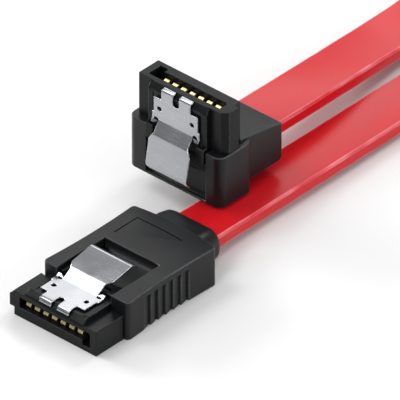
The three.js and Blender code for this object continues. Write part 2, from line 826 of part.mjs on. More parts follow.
// The right-angle plug points its mating face up and its latch side at the straight plug.
const angledPlug = plug(
  'angled',
  angledExposure,
  pocketSides(latchOffset, angledPocketWidth),
  angledOvermouldGeometry(),
  angledWirePoints,
);
angledPlug.quaternion.setFromRotationMatrix(new THREE.Matrix4().makeBasis(
  new THREE.Vector3(0, 0, -1),
  new THREE.Vector3(0, -1, 0),
  new THREE.Vector3(-1, 0, 0),
));
angledPlug.position.set(angledPlugX, angledPlugY, angledPlugLift + angledExposure + angledBodyHeight);
cable.add(angledPlug);

cable.add(named('cable_straight_lead', ribbonGeometry(straightLeadRoute, straightLeadSteps, -1), palette.jacket));
cable.add(named('cable_angled_lead', ribbonGeometry(angledLeadRoute, angledLeadSteps, 1), palette.jacket));
cable.add(named('cable_coil', coilGeometry(), palette.jacket));
cable.add(named('coil_tie', tieGeometry(), palette.tie));

cable.position.x = -originSetback;
const assembly = new THREE.Group();
assembly.add(cable);

export default assembly;
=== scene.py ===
"""Flat red data cable with a straight and a right-angle latching plug, on a pale floor.

Lengths are in metres. Points written in millimetres go through mm().
"""

from __future__ import annotations

import json
import logging
import math
from dataclasses import dataclass, field, replace
from enum import Enum

import bmesh
import bpy
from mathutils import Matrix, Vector
from mathutils.bvhtree import BVHTree
from mathutils.geometry import intersect_point_line

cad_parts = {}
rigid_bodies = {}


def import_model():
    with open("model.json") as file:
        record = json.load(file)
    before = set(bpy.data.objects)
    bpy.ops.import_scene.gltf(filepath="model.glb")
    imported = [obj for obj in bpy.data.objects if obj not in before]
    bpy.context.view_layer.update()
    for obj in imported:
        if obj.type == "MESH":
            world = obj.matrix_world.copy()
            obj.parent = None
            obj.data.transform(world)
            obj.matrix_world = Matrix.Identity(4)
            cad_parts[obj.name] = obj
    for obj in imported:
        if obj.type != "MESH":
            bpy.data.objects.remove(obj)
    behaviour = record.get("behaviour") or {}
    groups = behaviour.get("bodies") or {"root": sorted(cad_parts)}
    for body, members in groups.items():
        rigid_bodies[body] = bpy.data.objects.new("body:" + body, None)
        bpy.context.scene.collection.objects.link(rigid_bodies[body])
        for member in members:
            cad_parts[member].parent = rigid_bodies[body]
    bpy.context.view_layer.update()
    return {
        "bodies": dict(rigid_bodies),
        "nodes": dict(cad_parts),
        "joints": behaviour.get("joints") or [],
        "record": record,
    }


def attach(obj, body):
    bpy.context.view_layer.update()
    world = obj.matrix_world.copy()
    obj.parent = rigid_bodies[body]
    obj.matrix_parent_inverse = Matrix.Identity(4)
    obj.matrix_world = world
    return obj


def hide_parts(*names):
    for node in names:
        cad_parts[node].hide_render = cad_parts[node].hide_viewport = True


LOG = logging.getLogger("data_cable")

Colour = tuple[float, float, float, float]
MILLIMETRE = 0.001
# how far behind the straight plug's mating edge the shared origin lies
ORIGIN_SETBACK_MM = 11.6
CONTACT_COUNT = 7
GROUND_CONTACTS = (1, 4, 7)
COIL_TIE_EDGE = 0.00015
# the second material of a moulded piece, on its rounded edges, which carries the painted edge highlight
# where the finish has one
EDGE_SLOT = 1
# how many times as long as it is wide a line of a brushed and of a drawn surface is
BRUSHED_LINE = 25
DRAWN_LINE = 20
# the values of the mixed pattern between which the colour and the roughness go over
TINT_SPAN = (0.15, 0.4)
ROUGHNESS_SPAN = (0.1, 0.45)


def mm(*values: float) -> Vector:
    """Turns millimetres into metres.

    Args:
        values: The coordinates in millimetres.

    Returns:
        The same point in metres.
    """
    return Vector(values) * MILLIMETRE


def srgb(code: str) -> Colour:
    """Turns a screen colour into the linear one that shaders take, by the sRGB standard's curve.

    Args:
        code: The colour as '#rrggbb'.

    Returns:
        Linear red, green and blue with an alpha of 1.
    """
    channels = [int(code[i : i + 2], 16) / 255 for i in (1, 3, 5)]
    linear = [c / 12.92 if c <= 0.04045 else ((c + 0.055) / 1.055) ** 2.4 for c in channels]
    return (linear[0], linear[1], linear[2], 1.0)


def per_metre(size_mm: float) -> float:
    """Turns the size of a pattern's features into the scale of its texture.

    Args:
        size_mm: The size in millimetres.

    Returns:
        How many of them lie along one metre.
    """
    return 1 / (size_mm * MILLIMETRE)


def add_node(
    tree: bpy.types.NodeTree, kind: str, inputs: dict | None = None, **settings: str
) -> bpy.types.Node:
    """Adds one node.

    Args:
        tree: The node tree that gets it.
        kind: The node's type name.
        inputs: Socket name or number to a value, or to the output socket that feeds it.
        settings: The node's own properties.

    Returns:
        The new node.
    """
    node = tree.nodes.new(kind)
    for name, value in settings.items():
        setattr(node, name, value)
    for name, value in (inputs or {}).items():
        if isinstance(value, bpy.types.NodeSocket):
            tree.links.new(value, node.inputs[name])
        else:
            node.inputs[name].default_value = value
    return node


class Grain(Enum):
    """How the surface was made, which its fine pattern follows."""

    MOULDED = "moulded"
    BRUSHED = "brushed"
    DRAWN = "drawn"


@dataclass(frozen=True)
class Finish:
    """One real material's look.

    Attributes:
        name: The real material.
        base: Its colour, as '#rrggbb'.
        worn: Its colour in the low parts of its pattern.
        roughness: How widely it spreads a reflection.
        painted_edge_highlight: The colour of its rounded edges, a painted highlight lighter than its
            faces.
        roughness_swing: How far the pattern moves the roughness to either side.
        metallic: 1 for a metal.
        specular: How strongly it mirrors, where 0.5 is usual.
        coat: The weight of a clear skin over it.
        coat_roughness: How widely that skin spreads a reflection.
        subsurface: How much of the light passes through it.
        subsurface_mm: How far that light gets.
        anisotropy: How far a reflection is drawn out across the grain.
        grain: What the fine pattern follows.
        grain_mm: The width of the fine pattern's features.
        patch_mm: The width of the broad pattern's features.
        bump: How much of the fine pattern's height shows.
        bump_height_mm: That height.
    """

    name: str
    base: str
    worn: str
    roughness: float
    painted_edge_highlight: str = ""
    roughness_swing: float = 0.08
    metallic: float = 0.0
    specular: float = 0.5
    coat: float = 0.0
    coat_roughness: float = 0.1
    subsurface: float = 0.0
    subsurface_mm: float = 1.0
    anisotropy: float = 0.0
    grain: Grain = Grain.MOULDED
    grain_mm: float = 0.16
    patch_mm: float = 5.5
    bump: float = 0.15
    bump_height_mm: float = 0.01

    def edge(self) -> Finish:
        """The finish of the rounded edges, painted lighter than the faces between them as a painted
        highlight.

        Returns:
            This finish, or its form with the painted edge highlight where it has one.
        """
        if not self.painted_edge_highlight:
            return self
        # the painted edge highlight becomes the base colour of the edge finish
        return replace(self, name=f"{self.name}_edge", base=self.painted_edge_highlight, worn=self.base, painted_edge_highlight="")

    def stretch(self) -> tuple[float, float, float]:
        """How the fine texture is drawn out along the object's axes.

        Returns:
            The scale of the texture's coordinates along x, y and z.
        """
        if self.grain is Grain.BRUSHED:
            return (1.0, 1 / BRUSHED_LINE, 1.0)
        if self.grain is Grain.DRAWN:
            return (1 / DRAWN_LINE, 1.0, 1.0)
        return (1.0, 1.0, 1.0)

    def build(self) -> bpy.types.Material:
        """Makes the node material.

        Returns:
            The material, made once for each name.
        """
        known = bpy.data.materials.get(self.name)
        if known:
            return known
        material = bpy.data.materials.new(self.name)
        material.use_nodes = True
        tree = material.node_tree
        tree.nodes.clear()
        surface = "UV" if self.grain is Grain.DRAWN else "Object"
        place = add_node(tree, "ShaderNodeTexCoord").outputs[surface]
        stretched = add_node(
            tree, "ShaderNodeMapping", {"Vector": place, "Scale": self.stretch()}
        ).outputs["Vector"]
        fine = add_node(
            tree,
            "ShaderNodeTexNoise",
            {"Vector": stretched, "Scale": per_metre(self.grain_mm), "Detail": 4.0, "Roughness": 0.6},
        ).outputs["Fac"]
        patches = add_node(
            tree,
            "ShaderNodeTexNoise",
            {"Vector": place, "Scale": per_metre(self.patch_mm), "Detail": 3.0, "Roughness": 0.55},
        ).outputs["Fac"]
        mixed = add_node(
            tree, "ShaderNodeMath", {0: fine, 1: patches}, operation="MULTIPLY"
        ).outputs["Value"]
        tint = add_node(tree, "ShaderNodeValToRGB", {"Fac": mixed})
        for stop, position, colour in zip(tint.color_ramp.elements, TINT_SPAN, (self.worn, self.base)):
            stop.position = position
            stop.color = srgb(colour)
        rough = add_node(
            tree,
            "ShaderNodeMapRange",
            {
                "Value": mixed,
                "From Min": ROUGHNESS_SPAN[0],
                "From Max": ROUGHNESS_SPAN[1],
                "To Min": self.roughness - self.roughness_swing,
                "To Max": self.roughness + self.roughness_swing,
            },
        ).outputs["Result"]
        bump = add_node(
            tree,
            "ShaderNodeBump",
            {"Height": fine, "Strength": self.bump, "Distance": self.bump_height_mm * MILLIMETRE},
        ).outputs["Normal"]
        shader = add_node(
            tree,
            "ShaderNodeBsdfPrincipled",
            {
                "Base Color": tint.outputs["Color"],
                "Roughness": rough,
                "Normal": bump,
                "Metallic": self.metallic,
                "Specular IOR Level": self.specular,
                "Coat Weight": self.coat,
                "Coat Roughness": self.coat_roughness,
                "Subsurface Weight": self.subsurface,
                "Subsurface Scale": self.subsurface_mm * MILLIMETRE,
                "Anisotropic": self.anisotropy,
            },
        )
        add_node(tree, "ShaderNodeOutputMaterial", {"Surface": shader.outputs["BSDF"]})
        return material


# Glass-filled nylon, injection moulded in a spark-eroded steel mould: a dark, nearly closed skin with a
# low, broad sheen; its rounded edges are painted lighter grey as a painted highlight. The mould's grain
# is about 0.03 mm, too fine to show, and is drawn at 0.16 mm. Flow marks round the gate are about 4 mm
# across.
HOUSING = Finish(
    "moulded_nylon",
    "#0f1011",
    "#151618",
    0.34,
    painted_edge_highlight="#3c3d40",
    specular=0.15,
    grain_mm=0.16,
    patch_mm=3.8,
)
# Soft black vinyl moulded round the housing in an etched mould: an even, slightly pebbled skin that takes
# the light as a soft grey bloom; its rounded corners are painted lighter grey as a painted highlight. Its
# pebbles are about 0.05 mm, too fine to show, and are drawn at 0.11 mm.
OVERMOULD = Finish(
    "overmould_vinyl",
    "#0e0f11",
    "#141517",
    0.42,
    painted_edge_highlight="#505154",
    specular=0.28,
    grain_mm=0.11,
    bump=0.3,
)
# Stainless steel strip, cold rolled, stamped and bent: bright, with a fine line left by the rolls that
# spreads each reflection to one side. The line is about 0.01 mm wide, too fine to show, and is drawn at
# 0.07 mm and 25 times as long.
SPRING = Finish(
    "stainless_spring",
    "#bcbdc0",
    "#abadb1",
    0.27,
    roughness_swing=0.06,
    metallic=1.0,
    anisotropy=0.4,
    grain=Grain.BRUSHED,
    grain_mm=0.07,
    bump=0.08,
    bump_height_mm=0.004,
)
# Phosphor bronze, stamped and flash plated with gold: a pale, half-dull yellow. The plating's nodules
# are about 0.002 mm, too fine to show, and are drawn at 0.16 mm with hardly any height.
CONTACT = Finish("gold_contact", "#d5c898", "#c5b57c", 0.38, metallic=1.0, grain_mm=0.16, bump=0.05)
# Soft red vinyl, drawn over the wires through a die: a smooth satin skin with faint lines along it; its
# rounded edges are painted paler pink as a painted highlight. The die's lines stand about 0.1 mm apart,
# too fine to show, and are drawn at 0.38 mm and 20 times as long.
JACKET = Finish(
    "red_vinyl_jacket",
    "#c9131d",
    "#c3121b",
    0.32,
    painted_edge_highlight="#e27f87",
    specular=0.27,
    coat=0.1,
    coat_roughness=0.22,
    subsurface=0.06,
    grain=Grain.DRAWN,
    roughness_swing=0.04,
    grain_mm=0.38,
    bump=0.04,
)
# Foamed polyethylene, drawn over each signal wire: off-white and waxy. Its cells are about 0.05 mm, too
# fine to show, and are drawn at 0.16 mm.
INSULATION = Finish("foamed_insulation", "#e9e6df", "#ddd9cf", 0.45, grain_mm=0.16)
# Copper wire, drawn and dipped in tin: a soft silver shine. Its draw lines are about 0.01 mm, too fine
# to show, and are drawn at 0.16 mm.
BARE_WIRE = Finish("tinned_wire", "#cfccc6", "#bfbbb3", 0.28, metallic=1.0, grain_mm=0.16)
# Nylon, moulded in a blasted mould: black and evenly matt. The blasting left pits of about 0.1 mm, drawn
# at 0.16 mm so that they show.
TIE = Finish("tie_nylon", "#1a1b1d", "#242528", 0.5, specular=0.35, grain_mm=0.16)


@dataclass
class MouldedPiece:
    """A copy of one CAD solid with softened edges and its own finish.

    Attributes:
        node: The CAD node that it stands for.
        finish: Its material.
        slot: The record's name for that material; not used.
        body: The body that it moves with.
        edge_radius: The width of the rounding of its edges.
        segments: How many faces make up a rounding.
        sharp_degrees: Edges that turn by more than this are rounded.
        share_of_neighbour: How much of an edge beside it a rounding may take up.
        least_share: The share of edge_radius below which an edge stays sharp.
        straight_on: The cosine of the angle past which an edge carries on from its neighbour.
        end_part: The length of the part at each end of an edge, in edge radii.
        long_edge: How many end parts an edge must hold to be parted.
        clear_of_fault: How far round a fault the edges stay sharp, in edge radii.
        fold: The cosine of the angle between two faces past which they count as folded over.
        short_fold: The length below which a fold doesn't count, in edge radii.
        small_turned: Twice the area below which a turned face doesn't count, in squared edge radii.
        merge: The distance within which the solid's loose corners are joined.
        flat_degrees: Faces that turn by less than this are joined.
        rounds: How many times faults are looked for.
    """

    node: str
    finish: Finish
    slot: str
    body: str
    edge_radius: float
    segments: int = 3
    sharp_degrees: float = 32.0
    share_of_neighbour: float = 0.42
    least_share: float = 0.4
    straight_on: float = -0.8
    end_part: float = 4.0
    long_edge: float = 3.0
    clear_of_fault: float = 2.5
    fold: float = -0.6
    short_fold: float = 0.125
    small_turned: float = 0.02
    merge: float = 0.000001
    flat_degrees: float = 0.5
    rounds: int = 8

    def room(self, edge: bmesh.types.BMEdge) -> float:
        """How far an edge can be rounded before it meets what lies beside it.

        Args:
            edge: A sharp edge of the solid.

        Returns:
            The share of edge_radius, or 0 where a rounding would be too narrow to see.
        """
        width = self.edge_radius
        for end in edge.verts:
            along = (edge.other_vert(end).co - end.co).normalized()
            for other in end.link_edges:
                if other is edge:
                    continue
                beside = (other.other_vert(end).co - end.co).normalized()
                turn = max(-1.0, min(1.0, along.dot(beside)))
                if turn < self.straight_on:
                    continue
                free = other.calc_length() * math.sqrt(1 - turn * turn)
                width = min(width, free * self.share_of_neighbour)
        share = width / self.edge_radius
        return share if share > self.least_share else 0.0

    def is_sharp(self, edge: bmesh.types.BMEdge) -> bool:
        """Whether an edge is one to round.

        Args:
            edge: An edge of the solid.

        Returns:
            True where its two faces stand out at more than sharp_degrees.
        """
        limit = math.radians(self.sharp_degrees)
        return len(edge.link_faces) == 2 and edge.calc_face_angle_signed(0) > limit

    def cut_near_ends(self, edge: bmesh.types.BMEdge) -> None:
        """Parts a long edge from its two ends, so that a tight corner narrows the rounding only there.

        Args:
            edge: A sharp edge of the solid.
        """
        reach = self.end_part * self.edge_radius
        if edge.calc_length() < self.long_edge * reach:
            return
        for end in tuple(edge.verts):
            far = edge.other_vert(end)
            _, cut = bmesh.utils.edge_split(edge, end, reach / edge.calc_length())
            edge = next(part for part in cut.link_edges if far in part.verts)

    def solid(self, source: bpy.types.Object) -> bpy.types.Mesh:
        """Copies the solid, joins its flat faces and marks how far each edge is to be rounded.

        Args:
            source: The CAD node's object.

        Returns:
            The mesh, in the shared frame, with its bevel weights.
        """
        mesh = source.data.copy()
        mesh.transform(source.matrix_world)
        mesh.materials.clear()
        working = bmesh.new()
        working.from_mesh(mesh)
        bmesh.ops.remove_doubles(working, verts=working.verts, dist=self.merge)
        bmesh.ops.dissolve_limit(
            working,
            angle_limit=math.radians(self.flat_degrees),
            verts=working.verts,
            edges=working.edges,
        )
        for edge in [edge for edge in working.edges if self.is_sharp(edge)]:
            self.cut_near_ends(edge)
        weights = working.edges.layers.float.new("bevel_weight_edge")
        for edge in working.edges:
            edge[weights] = self.room(edge) if self.is_sharp(edge) else 0.0
        working.to_mesh(mesh)
        working.free()
        for polygon in mesh.polygons:
            polygon.use_smooth = True
        mesh.set_sharp_from_angle(angle=math.radians(self.sharp_degrees))
        return mesh

    def faults(self, rounded: bpy.types.Mesh, solid: BVHTree) -> list[Vector]:
        """Finds where the rounding folded over or left the solid.

        Args:
            rounded: The mesh with its edges rounded.
            solid: The solid before that.

        Returns:
            The places that are better left sharp.
        """
        working = bmesh.new()
        working.from_mesh(rounded)
        working.normal_update()
        places = [v.co.copy() for v in working.verts if solid.find_nearest(v.co)[3] > self.edge_radius]
        for edge in working.edges:
            if len(edge.link_faces) == 2 and edge.calc_length() > self.short_fold * self.edge_radius:
                one, two = edge.link_faces
                if one.normal.dot(two.normal) < self.fold:
                    places.append((edge.verts[0].co + edge.verts[1].co) / 2)
        small = self.small_turned * self.edge_radius**2
        for corners in working.calc_loop_triangles():
            a, b, c = (corner.vert.co for corner in corners)
            turned = (b - a).cross(c - a)
            if turned.length > small and turned.dot(corners[0].face.normal) < 0:
                places += [a.copy(), b.copy(), c.copy()]
        working.free()
        return places

    def leave_sharp(self, mesh: bpy.types.Mesh, places: list[Vector]) -> None:
        """Takes the rounding off the edges close to some places.

        Args:
            mesh: The solid with its bevel weights.
            places: Points in the shared frame.
        """
        weights = mesh.attributes["bevel_weight_edge"].data
        reach = self.clear_of_fault * self.edge_radius
        for edge in mesh.edges:
            if weights[edge.index].value == 0:
                continue
            a, b = (mesh.vertices[i].co for i in edge.vertices)
            for place in places:
                nearest, share = intersect_point_line(place, a, b)
                nearest = a if share < 0 else b if share > 1 else nearest
                if (nearest - place).length < reach:
                    weights[edge.index].value = 0.0
                    break

    def build(self, frame: dict) -> bpy.types.Object:
        """Rounds the solid's edges wherever that stays clean, and puts the piece in its place.


        Returns:
            The finished piece.
        """
        mesh = self.solid(frame["nodes"][self.node])
        mesh.materials.append(self.finish.build())
        mesh.materials.append(self.finish.edge().build())
        working = bmesh.new()
        working.from_mesh(mesh)
        solid = BVHTree.FromBMesh(working)
        working.free()
        rough = bpy.data.objects.new(f"{self.node}_working", mesh)
        bpy.context.scene.collection.objects.link(rough)
        bevel = rough.modifiers.new("edges", "BEVEL")
        bevel.limit_method = "WEIGHT"
        bevel.width = self.edge_radius
        bevel.segments = self.segments
        bevel.use_clamp_overlap = False
        # the rounded edges take the second material, which paints a lighter edge highlight on them
        bevel.material = EDGE_SLOT
        weighted = rough.modifiers.new("normals", "WEIGHTED_NORMAL")
        weighted.keep_sharp = True
        for _ in range(self.rounds):
            finished = bpy.data.meshes.new_from_object(
                rough.evaluated_get(bpy.context.evaluated_depsgraph_get())
            )
            places = self.faults(finished, solid)
            if not places:
                break
            self.leave_sharp(mesh, places)
            mesh.update()
            rough.update_tag()
            bpy.context.view_layer.update()
        bpy.data.objects.remove(rough)
        piece = bpy.data.objects.new(f"{self.node}_look", finished)
        bpy.context.scene.collection.objects.link(piece)
        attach(piece, self.body)
        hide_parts(self.node)
        LOG.info("%s: %d faces, %d places left", piece.name, len(finished.polygons), len(places))
        return piece


@dataclass
class Plug:
    """One latching plug's rigid pieces.

    Attributes:
        prefix: What its pieces' names start with.
        housing_edge: The rounding of the housing's edges.
        overmould_edge: The rounding of the overmould's edges.
        spring_edge: The rounding of the latch spring's edges.
        contact_edge: The rounding of the contacts' and the wires' edges.
        wire_sharp_degrees: The angle past which a wire's edge is rounded, which keeps its sides smooth.
    """

    prefix: str
    housing_edge: float = 0.00008
    overmould_edge: float = 0.00013
    spring_edge: float = 0.00006
    contact_edge: float = 0.00004
    wire_sharp_degrees: float = 60.0

    def build(self, frame: dict) -> None:
        """Makes the housing, overmould, latch spring, contacts and wires.
        """
        MouldedPiece(
            f"{self.prefix}_housing", HOUSING, "housing_plastic", "cable", self.housing_edge
        ).build(frame)
        MouldedPiece(
            f"{self.prefix}_overmould", OVERMOULD, "overmould_plastic", "cable", self.overmould_edge
        ).build(frame)
        MouldedPiece(
            f"{self.prefix}_latch_spring",
            SPRING,
            "spring_steel",
            f"{self.prefix}_latch",
            self.spring_edge,
            segments=2,
        ).build(frame)
        for number in range(1, CONTACT_COUNT + 1):
            MouldedPiece(
                f"{self.prefix}_contact_{number}",
                CONTACT,
                "contact_metal",
                "cable",
                self.contact_edge,
                segments=2,
            ).build(frame)
            bare = number in GROUND_CONTACTS
            MouldedPiece(
                f"{self.prefix}_{'ground' if bare else 'signal'}_wire_{number}",
                BARE_WIRE if bare else INSULATION,
                "bare_wire" if bare else "wire_insulation",
                "cable",
                self.contact_edge,
                segments=1,
                sharp_degrees=self.wire_sharp_degrees,
            ).build(frame)


@dataclass
class FlatCable:
    """The flat red cable: both leads and the stored turns, swept as one mesh.

    Attributes:
        width: The cable's width.
        thickness: Its thickness.
        edge_radius: The rounding of its four long edges.
        edge_steps: How many faces make up such a rounding.
        sharp_degrees: The angle past which an edge of the swept mesh is drawn sharp.
        coil_centre: The middle of the stored turns, in x and y.
        coil_start_radius: The radius at which the straight plug's lead joins them.
        coil_pitch: How much nearer to the middle each turn lies.
        coil_start_degrees: The direction from the middle at which they start.
        coil_sweep_degrees: How far they go round.
        coil_tuck_degrees: Over how much of their end the cable leaves for the other lead.
        coil_tuck: How much further in it comes there.
        coil_height: The height of the cable's middle line at their start.
        coil_rise: How much higher it ends.
        coil_steps: How many knots they have, less one.
        on_edge: The roll of the stored turns, which stand on edge.
        resample_step: The distance between the points of the smooth middle line, in metres.
        least_steps: The fewest points between two knots.
        exit_mm: Where the cable leaves the straight plug's boot; not used.
        straight_lead: The lead of the straight plug.
        angled_lead: The lead of the right-angle plug.

    The sizes of the section are in metres. The coil, the exit and the leads are in millimetres and
    degrees, with x from the straight plug's mating edge. Each knot of a lead is the middle of the
    cable's thickness and the cable's roll.
    """

    width: float = 0.0065
    thickness: float = 0.00165
    edge_radius: float = 0.00032
    edge_steps: int = 5
    sharp_degrees: float = 40.0
    coil_centre: tuple[float, float] = (125.7, 5.0)
    coil_start_radius: float = 33.8
    coil_pitch: float = 2.1
    coil_start_degrees: float = -140.0
    coil_sweep_degrees: float = 572.0
    coil_tuck_degrees: float = 70.0
    coil_tuck: float = 1.9
    coil_height: float = 4.1
    coil_rise: float = 0.1
    coil_steps: int = 54
    on_edge: float = 90.0
    resample_step: float = 0.0008
    least_steps: int = 2
    exit_mm: tuple[float, float, float] = (22.9, 0.0, 1.98)
    straight_lead: list[tuple[float, float, float, float]] = field(
        default_factory=lambda: [
            (16.3, 0, 1.98, 0),
            (20.0, 0, 1.98, 0),
            (22.6, 0, 1.97, 0),
            (24.8, 0.1, 1.87, 0),
            (26.9, 0.27, 1.7, 0),
            (30.0, 0.3, 1.67, 0),
            (38.0, 0.33, 1.64, 0),
            (46.0, 0.42, 1.55, 0),
            (54.0, 0.6, 1.37, 0),
            (62.0, 0.85, 1.12, 0),
            (68.0, 0.95, 1.28, 8),
            (72.8, 0.8, 2.35, 30),
            (77.4, -0.1, 3.5, 62),
            (82.8, -2.0, 4.0, 86),
            (88.6, -5.5, 4.1, 90),
            (92.2, -8.9, 4.1, 90),
        ]
    )
    angled_lead: list[tuple[float, float, float, float]] = field(
        default_factory=lambda: [
            (32.5, 6.95, 4.87, 0),
            (37.8, 6.95, 4.87, 0),
            (42.0, 7.0, 4.82, 0),
            (48.0, 7.42, 4.38, 0),
            (54.0, 8.3, 3.48, 0),
            (60.0, 9.3, 2.46, 0),
            (66.0, 10.1, 1.64, 0),
            (72.0, 10.4, 1.55, 0),
            (75.8, 10.45, 2.55, 0),
            (79.8, 10.5, 4.75, 0),
            (84.1, 11.1, 7.0, 0),
            (88.8, 12.8, 8.4, 0),
            (93.3, 15.1, 8.75, 0),
            (98.0, 18.4, 8.8, 0),
            (102.6, 22.6, 8.7, 4),
            (107.0, 26.2, 8.3, 20),
            (112.2, 29.4, 7.5, 45),
            (118.0, 31.7, 6.2, 70),
            (124.0, 32.9, 4.9, 86),
            (130.0, 33.1, 4.2, 90),
        ]
    )

    def route(self) -> list[tuple[Vector, float]]:
        """The whole cable's middle line.

        Returns:
            Points in metres, each with its roll in radians about the way the cable runs.
        """
        points = [(x, y, z, -roll) for x, y, z, roll in self.straight_lead]
        for step in range(self.coil_steps + 1):
            share = step / self.coil_steps
            angle = math.radians(self.coil_start_degrees + share * self.coil_sweep_degrees)
            tucked = max(0.0, 1 - (1 - share) * self.coil_sweep_degrees / self.coil_tuck_degrees)
            radius = (
                self.coil_start_radius
                - share * self.coil_sweep_degrees / 360 * self.coil_pitch
                - tucked**2 * self.coil_tuck
            )
            points.append(
                (
                    self.coil_centre[0] + radius * math.cos(angle),
                    self.coil_centre[1] + radius * math.sin(angle),
                    self.coil_height + share * self.coil_rise,
                    -self.on_edge,
                )
            )
        points += [(x, y, z, -roll) for x, y, z, roll in reversed(self.angled_lead)]
        return [(mm(x - ORIGIN_SETBACK_MM, y, z), math.radians(roll)) for x, y, z, roll in points]

    def dense(self) -> list[tuple[Vector, float]]:
        """The middle line at an even, close spacing.

        Returns:
            Points with their rolls, on a smooth curve through route().
        """
        knots = self.route()
        fine = []
        for i in range(len(knots) - 1):
            before = knots[max(i - 1, 0)]
            start, end = knots[i], knots[i + 1]
            after = knots[min(i + 2, len(knots) - 1)]
            steps = max(self.least_steps, round((end[0] - start[0]).length / self.resample_step))
            for step in range(steps):
                t = step / steps
                into = (end[0] - before[0]) / 2
                out = (after[0] - start[0]) / 2
                point = (
                    start[0] * (2 * t**3 - 3 * t**2 + 1)
                    + into * (t**3 - 2 * t**2 + t)
                    + end[0] * (3 * t**2 - 2 * t**3)
                    + out * (t**3 - t**2)
                )
                fine.append((point, start[1] + (end[1] - start[1]) * t))
        fine.append(knots[-1])
        return fine

    def sweep_tree(self) -> tuple[bpy.types.NodeTree, dict[str, float]]:
        """Makes the node tree that sweeps the cable's rounded section along a curve.

        Returns:
            The tree, and the value for each of its inputs by the input's identifier.
        """
        tree = bpy.data.node_groups.new("flat_cable_sweep", "GeometryNodeTree")
        tree.interface.new_socket("Path", in_out="INPUT", socket_type="NodeSocketGeometry")
        sizes = {
            "Width": self.width,
            "Thickness": self.thickness,
            "Edge Radius": self.edge_radius,
            "Edge Face Area": self.edge_radius * self.resample_step,
        }
        values = {}
        for name, value in sizes.items():
            socket = tree.interface.new_socket(name, in_out="INPUT", socket_type="NodeSocketFloat")
            values[socket.identifier] = value
        tree.interface.new_socket("Cable", in_out="OUTPUT", socket_type="NodeSocketGeometry")
        given = add_node(tree, "NodeGroupInput").outputs
        outline = add_node(
            tree,
            "GeometryNodeCurvePrimitiveQuadrilateral",
            {"Width": given["Width"], "Height": given["Thickness"]},
        ).outputs["Curve"]
        section = add_node(
            tree,
            "GeometryNodeFilletCurve",
            {"Curve": outline, "Count": self.edge_steps, "Radius": given["Edge Radius"]},
            mode="POLY",
        ).outputs["Curve"]
        along = self.measured(tree, given["Path"])
        around = self.measured(tree, section)
        swept = add_node(
            tree,
            "GeometryNodeCurveToMesh",
            {"Curve": along[0], "Profile Curve": around[0], "Fill Caps": True},
        ).outputs["Mesh"]
        place = add_node(tree, "ShaderNodeCombineXYZ", {"X": along[1], "Y": around[1]}).outputs["Vector"]
        mapped = add_node(
            tree,
            "GeometryNodeStoreNamedAttribute",
            {"Geometry": swept, "Name": "UVMap", "Value": place},
            data_type="FLOAT2",
            domain="CORNER",
        ).outputs["Geometry"]
        real = add_node(tree, "GeometryNodeRealizeInstances", {"Geometry": mapped}).outputs["Geometry"]
        dressed = add_node(
            tree, "GeometryNodeSetMaterial", {"Geometry": real, "Material": JACKET.build()}
        ).outputs["Geometry"]
        # the narrow faces of the rounded edges take the second jacket material, a painted highlight
        area = add_node(tree, "GeometryNodeInputMeshFaceArea").outputs["Area"]
        narrow = add_node(
            tree, "FunctionNodeCompare", {0: area, 1: given["Edge Face Area"]}, operation="LESS_THAN"
        ).outputs["Result"]
        edged = add_node(
            tree,
            "GeometryNodeSetMaterial",
            {"Geometry": dressed, "Selection": narrow, "Material": JACKET.edge().build()},
        ).outputs["Geometry"]
        add_node(tree, "NodeGroupOutput", {"Cable": edged})
        return tree, values

    def measured(
        self, tree: bpy.types.NodeTree, curve: bpy.types.NodeSocket
    ) -> tuple[bpy.types.NodeSocket, bpy.types.NodeSocket]:
        """Adds the nodes that note the distance along a curve.

        Args:
            tree: The sweep's tree.
            curve: The socket that gives the curve.

        Returns:
            The curve's socket and the distance's socket.
        """
        length = add_node(tree, "GeometryNodeSplineParameter").outputs["Length"]
        capture = tree.nodes.new("GeometryNodeCaptureAttribute")
        capture.capture_items.new("FLOAT", "Distance")
        tree.links.new(curve, capture.inputs["Geometry"])
        tree.links.new(length, capture.inputs["Distance"])
        return capture.outputs["Geometry"], capture.outputs["Distance"]

    def build(self, tie: bpy.types.Object) -> bpy.types.Object:
        """Args:
            tie: The piece that holds the stored turns; not used.

        Returns:
            The finished cable.
        """
        line = self.dense()
        curve = bpy.data.curves.new("flat_cable_path", "CURVE")
        curve.dimensions = "3D"
        curve.twist_mode = "Z_UP"
        spline = curve.splines.new("POLY")
        spline.points.add(len(line) - 1)
        for knot, (point, roll) in zip(spline.points, line):
            knot.co = (*point, 1.0)
            knot.tilt = roll
        path_object = bpy.data.objects.new("flat_cable_path", curve)
        bpy.context.scene.collection.objects.link(path_object)
        sweep = path_object.modifiers.new("sweep", "NODES")
        sweep.node_group, values = self.sweep_tree()
        for identifier, value in values.items():
            sweep[identifier] = value
        bpy.context.view_layer.update()
        mesh = bpy.data.meshes.new_from_object(
            path_object.evaluated_get(bpy.context.evaluated_depsgraph_get())
        )
        bpy.data.objects.remove(path_object)
        for polygon in mesh.polygons:
            polygon.use_smooth = True
        mesh.set_sharp_from_angle(angle=math.radians(self.sharp_degrees))
        piece = bpy.data.objects.new("flat_cable", mesh)
        bpy.context.scene.collection.objects.link(piece)
        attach(piece, "cable")
        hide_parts("cable_straight_lead", "cable_angled_lead", "cable_coil")
        return piece


@dataclass(frozen=True)
class Softbox:
    """One oblong area light.

    Attributes:
        name: The light's name.
        place: Where it stands, in metres.
        size: Its width and height, in metres.
        power: Its power in watts.
    """

    name: str
    place: tuple[float, float, float]
    size: tuple[float, float]
    power: float

    def build(self, target: Vector) -> None:
        """Hangs the light.

        Args:
            target: The point that it looks at.
        """
        data = bpy.data.lights.new(self.name, "AREA")
        data.shape = "RECTANGLE"
        data.size, data.size_y = self.size
        data.energy = self.power
        light = bpy.data.objects.new(self.name, data)
        light.location = self.place
        light.rotation_mode = "QUATERNION"
        light.rotation_quaternion = (target - Vector(self.place)).to_track_quat("-Z", "Y")
        bpy.context.scene.collection.objects.link(light)


